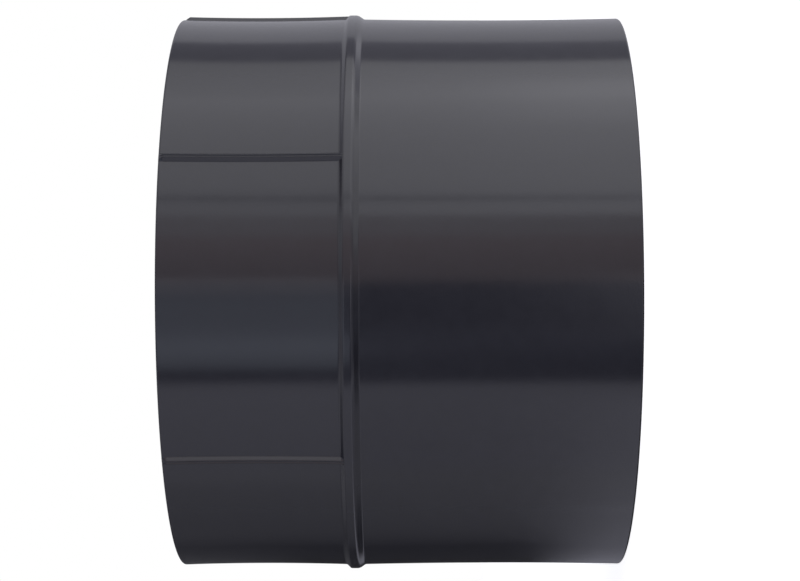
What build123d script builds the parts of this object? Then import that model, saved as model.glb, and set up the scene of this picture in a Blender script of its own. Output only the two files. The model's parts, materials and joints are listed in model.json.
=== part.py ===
from build123d import *
from math import asin, degrees
import os

# A one-piece moulded PVC coupling that joins two pipes of 4 inch trade size, in millimetres.
# It stands on its plain end with +Z up its axis, and one of its ribs lies over +X.

# Sockets, one at each end
pipe_diameter = 114.3  # outside diameter of the pipe
socket_clearance = 0.1  # gap all round between pipe and socket
socket_depth = 48.0  # from the rim's face down to the stop ring
entry_length = 5.0  # tapered way in at the mouth
entry_flare = 0.35  # how much wider the mouth is than the socket, on the radius
mouth_chamfer = 0.7  # broken edge between the mouth and the rim's face

# Stop ring between the two sockets
stop_width = 3.2
stop_height = 2.6
stop_draft = 0.4  # how far each side leans in over the ring's height
stop_bevel = 0.4  # broken edges of its bore

# Outer wall
wall = 5.6
waist_depth = 0.3  # how far each section draws in halfway along, where the moulding sank
rim_bevel = 0.4  # broken outer edge at each end

# Ridge round the outside
ridge_offset = 10.7  # middle of its crown, from mid-length towards the ribbed end
ridge_crown = 1.6  # width of its crown
ridge_height = 0.92
ridge_ribbed_slope = 0.9  # length of the flank on the ribbed side
ridge_plain_slope = 1.4  # length of the gentler flank on the plain side
ridge_crown_radius = 0.4
ridge_foot_radius = 0.5

# Ribs along the shorter section
rib_count = 6
rib_height = 0.85
rib_foot = 2.0  # width where its flanks leave the wall
rib_crest = 0.65  # width between the two edges of its crest
rib_hollow = 0.22  # how deep the crest is hollowed between those edges
rib_edge_radius = 0.08
rib_root = 1.0  # how deep its flanks carry on inside the wall
rib_end_length = 1.1  # slanting end by the rim
rib_end_drop = 0.7

# Worked out from the sizes above
socket_radius = pipe_diameter / 2 + socket_clearance
mouth_radius = socket_radius + entry_flare
stop_radius = socket_radius - stop_height
outer_radius = socket_radius + wall
crown_radius = outer_radius + ridge_height
crest_radius = outer_radius + rib_height
length = 2 * socket_depth + stop_width
crown_middle = length / 2 + ridge_offset
crown_top = crown_middle + ridge_crown / 2
crown_bottom = crown_middle - ridge_crown / 2
ridge_top = crown_top + ridge_ribbed_slope
ridge_bottom = crown_bottom - ridge_plain_slope


def socket_line(rim, inward):
    """Half section of one socket from the rim's face to the stop ring's bore.

    rim is the height of the rim's face, and inward is +1 or -1, the way into the socket."""
    stop_face = rim + inward * socket_depth
    return [
        (mouth_radius + mouth_chamfer, rim),
        (mouth_radius, rim + inward * mouth_chamfer),
        (socket_radius, rim + inward * entry_length),
        (socket_radius, stop_face),
        (stop_radius, stop_face + inward * stop_draft),
    ]


def waisted_line(bottom, top):
    """The line up the outside of one section, drawn in halfway."""
    halfway = (bottom + top) / 2
    ThreePointArc((outer_radius, bottom), (outer_radius - waist_depth, halfway), (outer_radius, top))


def corners_at(outline, *places):
    """The corners of an outline that lie at these places."""
    return [outline.vertices().sort_by_distance((*place, 0))[0] for place in places]


def moulded_wall():
    """The coupling without its ribs: wall, sockets, stop ring and ridge in one turn."""
    lower_socket = socket_line(0, 1)
    upper_socket = socket_line(length, -1)
    crown = [(crown_radius, crown_bottom), (crown_radius, crown_top)]
    feet = [(outer_radius, ridge_bottom), (outer_radius, ridge_top)]
    rims = [(outer_radius, 0), (outer_radius, length)]
    with BuildPart() as turned:
        with BuildSketch(Plane.XZ) as section:
            with BuildLine():
                Polyline(rims[0], *lower_socket, *reversed(upper_socket), rims[1])
                waisted_line(0, ridge_bottom)
                Polyline(feet[0], *crown, feet[1])
                waisted_line(ridge_top, length)
            make_face()
            fillet(corners_at(section, *crown), ridge_crown_radius)
            fillet(corners_at(section, *feet), ridge_foot_radius)
            chamfer(corners_at(section, *rims), rim_bevel)
            chamfer(corners_at(section, lower_socket[-1], upper_socket[-1]), stop_bevel)
        revolve(axis=Axis.Z)
    return turned.part


def rib_section(radius):
    """Across one rib over +X where the wall has this radius: sloping flanks that carry on inside the wall,
    and a crest that is hollowed between its two rounded edges."""
    crest = radius + rib_height
    half_crest = rib_crest / 2
    flank_slope = (rib_foot - rib_crest) / 2 / rib_height
    half_root = half_crest + (rib_height + rib_root) * flank_slope
    edges = [(crest, half_crest), (crest, -half_crest)]
    with BuildSketch() as across:
        Polygon(
            (radius - rib_root, half_root),
            edges[0],
            (crest - rib_hollow, 0),
            edges[1],
            (radius - rib_root, -half_root),
            align=None,
        )
        fillet(corners_at(across, *edges), rib_edge_radius)
    return across.sketch


def rib_bar():
    """One rib over +X, before it is cut to length.

    It follows the waist, so its section turns about the centre of the waist's long curve."""
    half_run = (length - ridge_top) / 2
    halfway = (length + ridge_top) / 2
    bend_radius = (half_run**2 + waist_depth**2) / (2 * waist_depth)
    bend_centre = Axis((outer_radius - waist_depth + bend_radius, 0, halfway), (0, 1, 0))
    half_turn = degrees(asin((length - crown_middle) / bend_radius))
    section = Pos(0, 0, halfway) * rib_section(outer_radius - waist_depth)
    upper_half = revolve(section, bend_centre, half_turn)
    return upper_half + mirror(upper_half, Plane.XY.offset(halfway))


def rib_room():
    """The turned room that the ribs are cut to, from inside the ridge up to the slant of their ends."""
    end_radius = crest_radius - rib_end_drop
    outside = outer_radius + wall
    with BuildPart() as turned:
        with BuildSketch(Plane.XZ):
            Polygon(
                (socket_radius, crown_middle),
                (outside, crown_middle),
                (outside, length - (outside - end_radius) * rib_end_length / rib_end_drop),
                (end_radius, length),
                (socket_radius, length),
                align=None,
            )
        revolve(axis=Axis.Z)
    return turned.part


def coupling_body():
    """The whole moulding: the turned wall with the ribs fused to it."""
    rib = rib_bar() & rib_room()
    return moulded_wall() + [place * rib for place in PolarLocations(0, rib_count)]


os.makedirs("parts", exist_ok=True)
export_step(coupling_body(), "parts/coupling_body.step")
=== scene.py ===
"""A moulded PVC pipe coupling, standing on its plain end under soft studio light."""

import json
import logging
import math
from dataclasses import dataclass, field
from enum import Enum

import bmesh
import bpy
from mathutils import Matrix, Vector


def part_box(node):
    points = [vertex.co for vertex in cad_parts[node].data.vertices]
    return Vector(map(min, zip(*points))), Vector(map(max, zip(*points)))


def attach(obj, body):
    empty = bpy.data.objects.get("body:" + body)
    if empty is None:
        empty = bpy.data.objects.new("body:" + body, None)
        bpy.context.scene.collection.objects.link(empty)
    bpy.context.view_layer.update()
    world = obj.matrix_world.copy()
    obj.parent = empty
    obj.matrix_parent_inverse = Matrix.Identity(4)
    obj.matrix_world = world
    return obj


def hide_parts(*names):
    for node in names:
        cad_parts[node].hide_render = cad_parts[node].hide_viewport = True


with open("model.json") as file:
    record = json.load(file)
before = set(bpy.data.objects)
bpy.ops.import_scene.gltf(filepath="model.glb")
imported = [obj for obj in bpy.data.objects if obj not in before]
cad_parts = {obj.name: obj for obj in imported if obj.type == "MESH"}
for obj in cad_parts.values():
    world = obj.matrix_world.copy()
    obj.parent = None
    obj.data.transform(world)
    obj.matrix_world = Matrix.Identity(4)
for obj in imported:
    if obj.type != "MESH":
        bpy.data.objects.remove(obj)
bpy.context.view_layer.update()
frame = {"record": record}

MM = 0.001
NODE = "coupling_body"
BODY = "root"
logger = logging.getLogger("coupling")


def clamp(value: float, low: float = 0.0, high: float = 1.0) -> float:
    """Keep a value between two limits."""
    return min(max(value, low), high)


def smooth_step(value: float) -> float:
    """Ease from 0 to 1 as a value goes from 0 to 1, level at both ends."""
    share = clamp(value)
    return share * share * (3 - 2 * share)


def linear_colour(hex_code: str) -> tuple[float, float, float, float]:
    """Turn an sRGB hex colour into the linear one that a shader takes.

    Args:
        hex_code: The colour as six hex digits after a hash sign.

    Returns:
        Linear red, green and blue, with an alpha of 1.
    """
    channels = [int(hex_code[i:i + 2], 16) / 255 for i in (1, 3, 5)]
    # The sRGB curve is straight in its darkest part and a power above that.
    curve = [c / 12.92 if c <= 0.04045 else ((c + 0.055) / 1.055) ** 2.4 for c in channels]
    return (*curve, 1.0)


def empty_material(name: str) -> bpy.types.Material:
    """Make a node material without any nodes.

    Args:
        name: The material's name.

    Returns:
        The new material.
    """
    material = bpy.data.materials.new(name)
    material.use_nodes = True
    material.node_tree.nodes.clear()
    return material


def add_node(tree: bpy.types.NodeTree, kind: str, settings: dict | None = None,
             inputs: dict | None = None) -> bpy.types.Node:
    """Add one node to a tree, set it up and link it.

    Args:
        tree: The node tree that gets the node.
        kind: The node's type name.
        settings: Values of the node's own properties.
        inputs: For each input, by name or index, a value or the output socket that feeds it.

    Returns:
        The new node.
    """
    node = tree.nodes.new(kind)
    for name, value in (settings or {}).items():
        setattr(node, name, value)
    for name, value in (inputs or {}).items():
        if isinstance(value, bpy.types.NodeSocket):
            tree.links.new(value, node.inputs[name])
        else:
            node.inputs[name].default_value = value
    return node


def new_object(name: str, mesh: bmesh.types.BMesh) -> bpy.types.Object:
    """Turn a bmesh into an object of the scene, at the origin and unturned.

    Args:
        name: The object's name, and its mesh's.
        mesh: The finished bmesh, which is freed.

    Returns:
        The linked object.
    """
    data = bpy.data.meshes.new(name)
    mesh.to_mesh(data)
    mesh.free()
    made = bpy.data.objects.new(name, data)
    bpy.context.scene.collection.objects.link(made)
    return made


def spin_upright(mesh: bmesh.types.BMesh, geom: list, angle: float, steps: int,
                 merge: bool = False, duplicate: bool = False) -> list:
    """Spin parts of a mesh about the upright axis through the origin.

    Args:
        mesh: The mesh that holds them.
        geom: The vertices, edges and faces to spin.
        angle: How far they turn, in radians.
        steps: How many steps the turn takes.
        merge: Whether a full turn closes on itself.
        duplicate: Whether it makes copies in place of a swept surface.

    Returns:
        What the last step made.
    """
    spun = bmesh.ops.spin(mesh, geom=geom, cent=(0, 0, 0), axis=(0, 0, 1), dvec=(0, 0, 0),
                          angle=angle, steps=steps, use_merge=merge, use_duplicate=duplicate)
    return spun["geom_last"]


@dataclass(frozen=True)
class Corner:
    """One corner of the turned section, in millimetres.

    Its rounding starts this far from the corner along both sides, and has this many steps.
    """

    radius: float
    height: float
    rounding: float = 0.0
    steps: int = 1


@dataclass(frozen=True)
class MouldedPvc:
    """Semi-gloss rigid PVC as it leaves a polished steel mould.

    It is pigmented all through, so its colour is even. A clear gloss lies over a fine mould texture and a
    little haze, and slight sink waves bend what it reflects.
    """

    colour: str = "#26262b"
    hazy_colour: str = "#2a2a30"
    roughness: float = 0.13
    roughness_spread: float = 0.02
    ior: float = 1.5  # rigid PVC has about 1.53; a little less matches how strongly it reflects
    # Real mould texture is finer than a pixel, so it is drawn about two pixels wide.
    grain_mm: float = 0.55
    grain_height_mm: float = 0.006
    sink_mm: float = 16.0
    sink_height_mm: float = 0.02
    haze_mm: float = 3.2
    haze_range: tuple[float, float] = (0.3, 0.7)

    def build(self) -> bpy.types.Material:
        """Make the material.

        Returns:
            A node material that reads Object coordinates.
        """
        material = empty_material("moulded PVC")
        tree = material.node_tree
        place = add_node(tree, "ShaderNodeTexCoord").outputs["Object"]
        grain = add_node(tree, "ShaderNodeTexNoise", {}, {
            "Vector": place, "Scale": 1 / (self.grain_mm * MM), "Detail": 3.0, "Roughness": 0.55})
        sink = add_node(tree, "ShaderNodeTexNoise", {}, {
            "Vector": place, "Scale": 1 / (self.sink_mm * MM), "Detail": 1.0, "Roughness": 0.4})
        haze = add_node(tree, "ShaderNodeTexNoise", {}, {
            "Vector": place, "Scale": 1 / (self.haze_mm * MM), "Detail": 4.0, "Roughness": 0.6})
        # Inputs 6 and 7 of a colour mix are its two colours, and output 2 is the mixed one.
        base = add_node(tree, "ShaderNodeMix", {"data_type": "RGBA"}, {
            0: haze.outputs["Fac"], 6: linear_colour(self.colour), 7: linear_colour(self.hazy_colour)})
        haze_low, haze_high = self.haze_range
        gloss = add_node(tree, "ShaderNodeMapRange", {}, {
            "Value": haze.outputs["Fac"], "From Min": haze_low, "From Max": haze_high,
            "To Min": self.roughness - self.roughness_spread,
            "To Max": self.roughness + self.roughness_spread})
        waves = add_node(tree, "ShaderNodeBump", {}, {
            "Height": sink.outputs["Fac"], "Distance": self.sink_height_mm * MM, "Strength": 1.0})
        texture = add_node(tree, "ShaderNodeBump", {}, {
            "Height": grain.outputs["Fac"], "Distance": self.grain_height_mm * MM, "Strength": 1.0,
            "Normal": waves.outputs["Normal"]})
        shader = add_node(tree, "ShaderNodeBsdfPrincipled", {}, {
            "Base Color": base.outputs[2], "Roughness": gloss.outputs["Result"], "IOR": self.ior,
            "Normal": texture.outputs["Normal"]})
        add_node(tree, "ShaderNodeOutputMaterial", {}, {"Surface": shader.outputs["BSDF"]})
        return material


@dataclass(frozen=True)
class LitCloth:
    """White cloth of a light tent, lit from outside, so it glows by what its panels let through."""

    attribute: str = "light"

    def build(self) -> bpy.types.Material:
        """Make the material.

        Returns:
            A node material that glows with the colour held in the mesh's attribute.
        """
        material = empty_material("lit cloth")
        tree = material.node_tree
        colour = add_node(tree, "ShaderNodeAttribute", {"attribute_name": self.attribute}).outputs["Color"]
        glow = add_node(tree, "ShaderNodeEmission", {}, {"Color": colour, "Strength": 1.0})
        add_node(tree, "ShaderNodeOutputMaterial", {}, {"Surface": glow.outputs["Emission"]})
        return material


@dataclass(frozen=True)
class WhitePaper:
    """Matt white background paper, lit evenly enough to look white where the camera sees it."""

    colour: str = "#f4f4f4"
    roughness: float = 0.9
    glow: float = 0.75

    def build(self) -> bpy.types.Material:
        """Make the material.

        Returns:
            A node material that glows for the camera alone and still takes a shadow.
        """
        material = empty_material("white paper")
        tree = material.node_tree
        path = add_node(tree, "ShaderNodeLightPath")
        glow = add_node(tree, "ShaderNodeMath", {"operation": "MULTIPLY"}, {
            0: path.outputs["Is Camera Ray"], 1: self.glow})
        shader = add_node(tree, "ShaderNodeBsdfPrincipled", {}, {
            "Base Color": linear_colour(self.colour), "Roughness": self.roughness, "Specular IOR Level": 0.0,
            "Emission Color": linear_colour("#ffffff"), "Emission Strength": glow.outputs[0]})
        add_node(tree, "ShaderNodeOutputMaterial", {}, {"Surface": shader.outputs["BSDF"]})
        return material


@dataclass
class Coupling:
    """The moulding: two sockets and a stop ring inside, a ridge and ribs outside. Sizes in millimetres."""

    length: float
    socket_radius: float
    outer_radius: float

    # Stop ring, tapered entries and mouths
    stop_width: float = 3.2
    stop_height: float = 2.6
    stop_draft: float = 0.4
    stop_rounding: float = 0.5
    stop_foot_rounding: float = 0.25
    entry_length: float = 5.0
    entry_flare: float = 0.35
    entry_rounding: float = 0.2
    mouth_chamfer: float = 0.7
    mouth_rounding: float = 0.15

    # Outer wall, which draws in halfway along each section
    waist: float = 0.3
    rim_rounding: float = 0.4
    wall_tolerance: float = 0.03  # a point of the section within this of the wall is on it

    # Ridge round the outside; its offset is from mid-length towards the ribbed end
    ridge_offset: float = 10.55
    ridge_crown: float = 1.9
    ridge_height: float = 0.92
    ridge_ribbed_slope: float = 0.9
    ridge_plain_slope: float = 1.35
    ribbed_foot_rounding: float = 0.25
    ribbed_crown_rounding: float = 0.22
    plain_crown_rounding: float = 0.42
    plain_foot_rounding: float = 0.14

    # Ribs along the shorter section
    rib_count: int = 6
    rib_foot: float = 1.95
    rib_crest: float = 0.58
    rib_height: float = 0.9
    rib_hollow: float = 0.3
    rib_end: float = 1.1
    rib_end_drop: float = 0.9  # share of its height that a rib has lost at the rim
    rib_softness: float = 0.06
    softness_samples: int = 4  # on each side of a point

    # How finely the mesh is divided
    edge_strip: float = 0.12  # narrow strip beside each rounding, which keeps the shading of long runs level
    strip_limit: float = 0.72  # a run shorter than this has no strips
    end_zone: float = 1.54  # below the ribbed rim, where the ribs slant down
    end_pitch: float = 0.15
    wall_pitch: float = 3.0
    rib_margin: float = 0.3  # on each side of a rib, turned as finely as the rib
    rib_steps: int = 38
    wall_steps: int = 50
    weld_distance: float = 0.0005
    crease_angle: float = 32.0

    finish: MouldedPvc = field(default_factory=MouldedPvc)

    def __post_init__(self) -> None:
        """Work out the heights, and the turn from rib to rib, that several methods share."""
        self.socket_depth = (self.length - self.stop_width) / 2
        crown_middle = self.length / 2 + self.ridge_offset
        self.crown_top = crown_middle + self.ridge_crown / 2
        self.crown_bottom = crown_middle - self.ridge_crown / 2
        self.ridge_top = self.crown_top + self.ridge_ribbed_slope
        self.ridge_bottom = self.crown_bottom - self.ridge_plain_slope
        self.rib_turn = 2 * math.pi / self.rib_count

    def corners(self) -> list[Corner]:
        """List the section's corners, up the inside and down the outside.

        Returns:
            The corners in order round the closed section.
        """
        mouth = self.socket_radius + self.entry_flare
        mouth_edge = mouth + self.mouth_chamfer
        stop = self.socket_radius - self.stop_height
        stop_low, stop_high = self.socket_depth, self.length - self.socket_depth
        crown = self.outer_radius + self.ridge_height
        top = self.length
        return [
            Corner(mouth_edge, 0, self.mouth_rounding, steps=3),
            Corner(mouth, self.mouth_chamfer, self.entry_rounding, steps=3),
            Corner(self.socket_radius, self.entry_length),
            Corner(self.socket_radius, stop_low, self.stop_foot_rounding, steps=3),
            Corner(stop, stop_low + self.stop_draft, self.stop_rounding, steps=5),
            Corner(stop, stop_high - self.stop_draft, self.stop_rounding, steps=5),
            Corner(self.socket_radius, stop_high, self.stop_foot_rounding, steps=3),
            Corner(self.socket_radius, top - self.entry_length),
            Corner(mouth, top - self.mouth_chamfer, self.entry_rounding, steps=3),
            Corner(mouth_edge, top, self.mouth_rounding, steps=3),
            Corner(self.outer_radius, top, self.rim_rounding, steps=6),
            Corner(self.outer_radius, top - self.end_zone),
            Corner(self.outer_radius, self.ridge_top, self.ribbed_foot_rounding, steps=6),
            Corner(crown, self.crown_top, self.ribbed_crown_rounding, steps=6),
            Corner(crown, self.crown_bottom, self.plain_crown_rounding, steps=8),
            Corner(self.outer_radius, self.ridge_bottom, self.plain_foot_rounding, steps=5),
            Corner(self.outer_radius, 0, self.rim_rounding, steps=7),
        ]

    def section(self) -> bmesh.types.BMesh:
        """Draw the closed section in the XZ plane, round its corners, divide its runs and draw in the waists.

        Returns:
            A bmesh that holds the section's wire, in metres.
        """
        mesh = bmesh.new()
        corners = self.corners()
        verts = [mesh.verts.new((c.radius * MM, 0, c.height * MM)) for c in corners]
        for here, there in zip(verts, verts[1:] + verts[:1]):
            mesh.edges.new((here, there))
        for vert, corner in zip(verts, corners):
            if corner.rounding:
                bmesh.ops.bevel(mesh, geom=[vert], offset=corner.rounding * MM, offset_type="OFFSET",
                                segments=corner.steps, profile=0.5, affect="VERTICES", material=-1)
        for edge in [e for e in mesh.edges if e.calc_length() > self.strip_limit * MM]:
            first, last = edge.verts
            share = self.edge_strip * MM / edge.calc_length()
            # The second strip is cut from what the first leaves of the run.
            bmesh.utils.edge_split(edge, first, share)
            bmesh.utils.edge_split(edge, last, share / (1 - share))
        end_start = self.length - self.end_zone - self.edge_strip / 2
        for edge in list(mesh.edges):
            low, high = sorted(v.co.z / MM for v in edge.verts)
            pitch = self.end_pitch if low > end_start else self.wall_pitch
            cuts = int((high - low) / pitch)
            if cuts:
                bmesh.ops.subdivide_edges(mesh, edges=[edge], cuts=cuts)
        for vert in mesh.verts:
            if abs(vert.co.x / MM - self.outer_radius) < self.wall_tolerance:
                vert.co.x -= self.waist_at(vert.co.z / MM) * MM
        return mesh

    def waist_at(self, height: float) -> float:
        """Give how far the outside draws in at a height: a parabola over each section.

        Args:
            height: Height above the plain rim, in millimetres.

        Returns:
            The depth below the straight wall, in millimetres.
        """
        if height > self.ridge_top:
            low, high = self.ridge_top, self.length - self.rim_rounding
        else:
            low, high = self.rim_rounding, self.ridge_bottom
        share = clamp((height - low) / (high - low))
        return self.waist * 4 * share * (1 - share)

    def rib_rise(self, across: float) -> float:
        """Give how far a sharp-edged rib stands out: two sloping flanks and a hollowed crest.

        Args:
            across: Distance from the rib's middle line, in millimetres.

        Returns:
            Its height above the wall, in millimetres.
        """
        across = abs(across)
        half_foot, half_crest = self.rib_foot / 2, self.rib_crest / 2
        if across > half_foot:
            return 0.0
        if across > half_crest:
            return self.rib_height * (half_foot - across) / (half_foot - half_crest)
        return self.rib_height - self.rib_hollow * (1 - (across / half_crest) ** 2)

    def soft_rib_rise(self, across: float) -> float:
        """Give the rib's rise with its edges softened by a bell-shaped mean over twice the softness each way.

        Args:
            across: Distance from the rib's middle line, in millimetres.

        Returns:
            Its height above the wall, in millimetres.
        """
        samples = range(-self.softness_samples, self.softness_samples + 1)
        reach = [2 * self.rib_softness * i / self.softness_samples for i in samples]
        weights = [math.exp(-0.5 * (r / self.rib_softness) ** 2) for r in reach]
        return sum(w * self.rib_rise(across + r) for w, r in zip(weights, reach)) / sum(weights)

    def turn(self, mesh: bmesh.types.BMesh) -> None:
        """Spin the section over one rib, in fine steps, and on to the next rib, then repeat that all round.

        Args:
            mesh: The section's wire, which becomes the closed shell.
        """
        fine_turn = 2 * (self.rib_foot / 2 + self.rib_margin) / self.outer_radius
        start = Matrix.Rotation(-fine_turn / 2, 3, "Z")
        bmesh.ops.rotate(mesh, verts=mesh.verts, cent=(0, 0, 0), matrix=start)
        front = list(mesh.verts) + list(mesh.edges)
        front = spin_upright(mesh, front, fine_turn, self.rib_steps)
        spin_upright(mesh, front, self.rib_turn - fine_turn, self.wall_steps)
        self.raise_ribs(mesh)
        whole = list(mesh.verts) + list(mesh.edges) + list(mesh.faces)
        spin_upright(mesh, whole, 2 * math.pi - self.rib_turn, self.rib_count - 1, duplicate=True)
        bmesh.ops.remove_doubles(mesh, verts=mesh.verts, dist=self.weld_distance * MM)
        bmesh.ops.recalc_face_normals(mesh, faces=mesh.faces)

    def raise_ribs(self, mesh: bmesh.types.BMesh) -> None:
        """Raise the ribs out of the ribbed section, and bring each down in a slant to the rim.

        Args:
            mesh: The shell from one rib to the next, with the rib at each end still flat.
        """
        innermost = self.outer_radius - self.rim_rounding - self.waist
        for vert in mesh.verts:
            radius, height = vert.co.xy.length / MM, vert.co.z / MM
            if height < self.crown_top or radius < innermost:
                continue
            angle = math.atan2(vert.co.y, vert.co.x)
            across = (angle - self.rib_turn * round(angle / self.rib_turn)) * self.outer_radius
            near_rim = max(0.0, height - (self.length - self.rib_end)) / self.rib_end
            rise = self.soft_rib_rise(across) * (1 - self.rib_end_drop * near_rim)
            if rise <= 0:
                continue
            # On the rim's rounding the rib stands on the rounding itself.
            on_rim = height > self.length - self.rim_rounding
            wall = radius if on_rim else self.outer_radius - self.waist_at(height)
            if wall + rise > radius:
                vert.co.xy = vert.co.xy.normalized() * (wall + rise) * MM

    def build(self) -> bpy.types.Object:
        """Make the finished moulding.

        Returns:
            The object, dressed and tied to the frame.
        """
        mesh = self.section()
        self.turn(mesh)
        for face in mesh.faces:
            face.smooth = True
        for edge in mesh.edges:
            if len(edge.link_faces) == 2 and edge.calc_face_angle() > math.radians(self.crease_angle):
                edge.smooth = False
        piece = new_object("pvc_coupling", mesh)
        piece.data.materials.append(self.finish.build())
        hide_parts(NODE)
        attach(piece, BODY)
        return piece


class Tint(Enum):
    """Colours of the light on the tent, which turns from bluish low in front to neutral at the softbox."""

    PAPER = "#f3f3ff"
    BOUNCE = "#eeeeff"
    END_BOUNCE = "#ececff"
    FLAG = "#dce0ff"
    FRONT_WALL = "#e4eeff"
    WALL_EDGE = "#f4f4ff"
    SIDE_CARD = "#ffecf0"
    UPPER_CARD = "#faf4fb"
    SKIRT = "#f5f5fd"
    SOFTBOX = "#f5f5fc"
    GAP = "#ededff"


@dataclass(frozen=True)
class Panel:
    """One upright panel of the light tent, between two angles and two heights.

    Its light runs evenly from the level at its start to the level at its end, and eases in and out over the
    fade. Start, end and fade are in degrees, from the camera's side round towards the picture's top. The
    heights are in metres, and the light drops by the share that it leans for each metre up.
    """

    name: str
    start: float
    end: float
    start_level: float
    end_level: float
    fade: float = 3.0
    above: float = -math.inf
    below: float = math.inf
    lean: float = 0.0
    lean_heights: tuple[float, float] = (-0.1, 0.25)  # past these the lean changes nothing more
    tint: Tint = Tint.PAPER

    def level(self, angle: float, height: float) -> float:
        """Give the panel's light at one place of the tent.

        Args:
            angle: Angle from the camera's side, in degrees.
            height: Height above the floor, in metres.

        Returns:
            The strength of its light there, and 0 outside the panel.
        """
        if not self.above < height < self.below:
            return 0.0
        # Each edge of the panel lies in the middle of its fade.
        cover = (smooth_step((angle - self.start) / self.fade + 0.5)
                 * smooth_step((self.end - angle) / self.fade + 0.5))
        share = clamp((angle - self.start) / (self.end - self.start))
        tilt = 1 - self.lean * clamp(height, *self.lean_heights)
        return cover * tilt * (self.start_level + (self.end_level - self.start_level) * share)


@dataclass
class Studio:
    """The photographer's place: a pale floor, a white background, a round light tent and the camera.

    The tent and the floor are in metres, and the camera's distance and height are in millimetres.
    """

    # Camera; its azimuth is in degrees, and its small turns are in radians
    azimuth: float = 3.75
    lens: float = 93.04
    distance: float = 481.3
    camera_height: float = 46.6
    yaw: float = 0.00683
    pitch: float = 0.00058
    roll: float = -0.0029
    clip_range: tuple[float, float] = (0.01, 30.0)

    # Light tent
    tent_radius: float = 1.05
    tent_rings: tuple[float, ...] = (
        -1.6, -1.45, -1.2, -0.8, -0.4, -0.25, -0.15, -0.08, -0.035, 0.0,
        0.06, 0.1, 0.125, 0.2, 0.3, 0.6, 1.1, 1.9)
    tent_cap_ring: float = 0.5
    tent_steps: int = 720
    cloth: LitCloth = field(default_factory=LitCloth)

    # The tent's light falls off past the object: by how much, from which height, past how far, over how far
    falloff: float = 0.4
    falloff_middle: float = 0.06
    falloff_start: float = 0.2
    falloff_span: float = 0.8

    # Floor and background
    floor_radius: float = 1.0
    floor_segments: int = 96
    paper: WhitePaper = field(default_factory=WhitePaper)
    fill_strength: float = 0.8

    panels: tuple[Panel, ...] = (
        # Low in front, up to the dark flag
        Panel("paper under the camera", -180, -128, 0.02, 0.045, 8),
        Panel("far part of the low front bounce", -128, -75, 0.05, 0.58, 5),
        Panel("low front bounce", -75, -35.8, 0.58, 0.82, 4, above=-1.5, tint=Tint.BOUNCE),
        Panel("low front bounce by the ribbed end", -82, -37, 0.1, 0.12, 10, above=0.09, tint=Tint.BOUNCE),
        # The flag, and the front wall that shows over it at the ribbed end
        Panel("flag", -36, 3.8, 0.15, 0.15, 3, tint=Tint.FLAG),
        Panel("faint light on the flag", -25, -14, 0.1, 0.08, 8, tint=Tint.FLAG),
        Panel("front wall over the flag", -30, -1, 0.74, 0.66, 5, above=0.105, tint=Tint.FRONT_WALL),
        Panel("bright patch on the front wall", -25, -18, 0.18, 0.18, 6, above=0.105, tint=Tint.FRONT_WALL),
        Panel("foot of the bright patch", -27, -16, 0.75, 0.75, 5, above=0.09, below=0.105,
              tint=Tint.FRONT_WALL),
        Panel("edge of the front wall", -1, 5, 0.62, 0.76, 2, above=0.105, tint=Tint.WALL_EDGE),
        # From the camera's side up to the softbox and over it
        Panel("lower camera side card", 3.8, 22, 0.53, 0.88, 3, tint=Tint.SIDE_CARD),
        Panel("upper camera side card", 22, 30, 0.97, 1.04, 2, tint=Tint.UPPER_CARD),
        Panel("skirt of the softbox", 30, 36.4, 1.76, 1.66, 1.5, lean=0.9, tint=Tint.SKIRT),
        Panel("seam of the softbox", 37.3, 41, 1.76, 1.8, 1.5, lean=0.9, tint=Tint.SKIRT),
        Panel("softbox", 41, 84, 1.82, 2.24, 2, lean=0.7, tint=Tint.SOFTBOX),
        Panel("far part of the softbox", 84, 107.2, 2.34, 1.26, 2, lean=1.4, tint=Tint.SOFTBOX),
        Panel("softbox by the plain end", 32, 74, 0.1, 0.12, 8, below=-0.03, tint=Tint.SOFTBOX),
        Panel("far part of the softbox by the plain end", 72, 94, 0.3, 0.35, 8, below=-0.03,
              tint=Tint.SOFTBOX),
        Panel("gap behind the softbox", 107.2, 124, 0.5, 0.46, 2, lean=0.8, tint=Tint.GAP),
        Panel("rear card", 123.9, 178, 0.82, 0.3, 2),
        # Beside the plain end
        Panel("low bounce by the plain end", -172, -95, 0.12, 0.74, 12, above=-0.16, below=-0.05,
              tint=Tint.END_BOUNCE),
        Panel("front bounce by the plain end", -95, -40, 0.74, 0.55, 16, above=-0.16, below=-0.05,
              tint=Tint.END_BOUNCE),
        Panel("glow by the plain end", -20, 6, 0.2, 0.85, 8, above=-0.3, below=-0.05),
        Panel("glow past the plain end", -40, 16, 0.35, 0.35, 8, above=-0.9, below=-0.2),
        Panel("card past the plain end", -32, 26, 0.08, 0.3, 10, below=-1.0),
        Panel("low bounce past the plain end", -112, -50, 0.24, 0.24, 10, below=-0.7),
        Panel("card behind the plain end", 104, 150, 0.85, 0.3, 12, below=-0.4),
        # Beside the ribbed end
        Panel("low bounce by the ribbed end", -175, -112, 0.05, 0.05, 12, above=0.16),
        Panel("low card past the ribbed end", -170, -50, 0.55, 0.55, 10, above=1.0),
        Panel("rear card past the ribbed end", 100, 150, 0.5, 0.4, 10, above=0.8),
    )

    def directions(self) -> tuple[Vector, Vector]:
        """Give the way to the camera and the way to the top of the picture.

        Returns:
            Two level unit vectors.
        """
        turn = math.radians(self.azimuth)
        return Vector((math.sin(turn), -math.cos(turn), 0)), Vector((math.cos(turn), math.sin(turn), 0))

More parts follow.
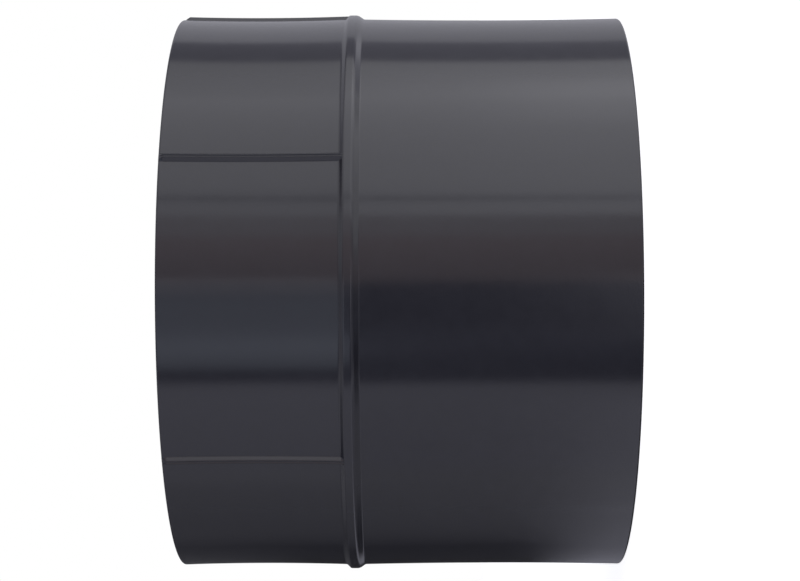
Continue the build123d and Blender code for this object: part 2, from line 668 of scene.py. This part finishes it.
    def build_tent(self) -> bpy.types.Object:
        """Make the round light tent that the gloss of the moulding reflects.

        Returns:
            The tent.
        """
        mesh = bmesh.new()
        bottom, top = self.tent_rings[0], self.tent_rings[-1]
        wall = [(self.tent_radius, height) for height in self.tent_rings]
        line = [(0.0, bottom), (self.tent_cap_ring, bottom), *wall, (self.tent_cap_ring, top), (0.0, top)]
        verts = [mesh.verts.new((radius, 0, height)) for radius, height in line]
        edges = [mesh.edges.new(pair) for pair in zip(verts, verts[1:])]
        spin_upright(mesh, verts + edges, 2 * math.pi, self.tent_steps, merge=True)
        bmesh.ops.remove_doubles(mesh, verts=mesh.verts, dist=MM)
        self.light_tent(mesh)
        tent = new_object("light_tent", mesh)
        tent.data.materials.append(self.cloth.build())
        tent.visible_camera = False
        tent.visible_shadow = False
        return tent

    def light_tent(self, mesh: bmesh.types.BMesh) -> None:
        """Give each point of the tent the light of its panels.

        Args:
            mesh: The tent's mesh, which gets the attribute that its cloth reads.
        """
        light = mesh.verts.layers.float_color.new(self.cloth.attribute)
        towards, up = self.directions()
        tints = [Vector(linear_colour(panel.tint.value)[:3]) for panel in self.panels]
        for vert in mesh.verts:
            angle = math.degrees(math.atan2(vert.co.dot(up), vert.co.dot(towards)))
            total = Vector((0.0, 0.0, 0.0))
            for panel, tint in zip(self.panels, tints):
                total += panel.level(angle, vert.co.z) * tint
            past_object = abs(vert.co.z - self.falloff_middle) - self.falloff_start
            total *= 1 - self.falloff * clamp(past_object / self.falloff_span)
            vert[light] = (*total, 1.0)

    def build_floor(self) -> bpy.types.Object:
        """Make the pale floor under the plain end.

        Returns:
            The floor.
        """
        mesh = bmesh.new()
        bmesh.ops.create_circle(mesh, cap_ends=True, segments=self.floor_segments, radius=self.floor_radius)
        floor = new_object("floor", mesh)
        floor.data.materials.append(self.paper.build())
        floor.visible_glossy = False
        return floor

    def build_world(self) -> None:
        """Make the background, which is white to see and a little dimmer as light on the object."""
        world = bpy.data.worlds.new("white background")
        bpy.context.scene.world = world
        world.use_nodes = True
        tree = world.node_tree
        tree.nodes.clear()
        path = add_node(tree, "ShaderNodeLightPath")
        through = add_node(tree, "ShaderNodeMath", {"operation": "MAXIMUM"}, {
            0: path.outputs["Is Glossy Ray"], 1: path.outputs["Is Transmission Ray"]})
        seen = add_node(tree, "ShaderNodeMath", {"operation": "MAXIMUM"}, {
            0: path.outputs["Is Camera Ray"], 1: through.outputs[0]})
        # Inputs 2 and 3 of a mix of numbers are the value unseen and the value seen.
        strength = add_node(tree, "ShaderNodeMix", {"data_type": "FLOAT"}, {
            0: seen.outputs[0], 2: self.fill_strength, 3: 1.0})
        light = add_node(tree, "ShaderNodeBackground", {}, {
            "Color": linear_colour("#ffffff"), "Strength": strength.outputs[0]})
        add_node(tree, "ShaderNodeOutputWorld", {}, {"Surface": light.outputs["Background"]})

    def build_camera(self) -> bpy.types.Object:
        """Place the camera where the photograph was taken from, turned on its side.

        Returns:
            The scene's camera.
        """
        towards, up = self.directions()
        data = bpy.data.cameras.new("camera")
        data.lens = self.lens
        data.clip_start, data.clip_end = self.clip_range
        camera = bpy.data.objects.new("camera", data)
        bpy.context.scene.collection.objects.link(camera)
        on_side = Matrix((Vector((0, 0, -1)), up, towards)).transposed()
        aim = Matrix.Rotation(self.yaw, 3, "Y") @ Matrix.Rotation(self.pitch, 3, "X")
        turned = on_side @ aim @ Matrix.Rotation(self.roll, 3, "Z")
        place = towards * self.distance * MM + Vector((0, 0, self.camera_height * MM))
        camera.matrix_world = Matrix.Translation(place) @ turned.to_4x4()
        bpy.context.scene.camera = camera
        return camera


def main() -> None:
    """Build the coupling and the studio."""
    logging.basicConfig(level=logging.INFO, format="%(name)s: %(message)s")
    _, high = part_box(NODE)
    sockets = [m for m in frame["record"]["mounts"] if m["kind"] == "bore"]
    # The box reaches up to the ribbed rim and out to the crown of the ridge.
    coupling = Coupling(
        length=high.z / MM,
        socket_radius=sockets[0]["dims"]["r_mm"],
        outer_radius=high.x / MM - Coupling.ridge_height)
    piece = coupling.build()
    logger.info("%s: %d faces", piece.name, len(piece.data.polygons))
    studio = Studio()
    for made in (studio.build_tent(), studio.build_floor(), studio.build_camera()):
        logger.info("%s made", made.name)
    studio.build_world()
    scene = bpy.context.scene
    scene.view_settings.view_transform = "Standard"


if __name__ == "__main__":
    main()
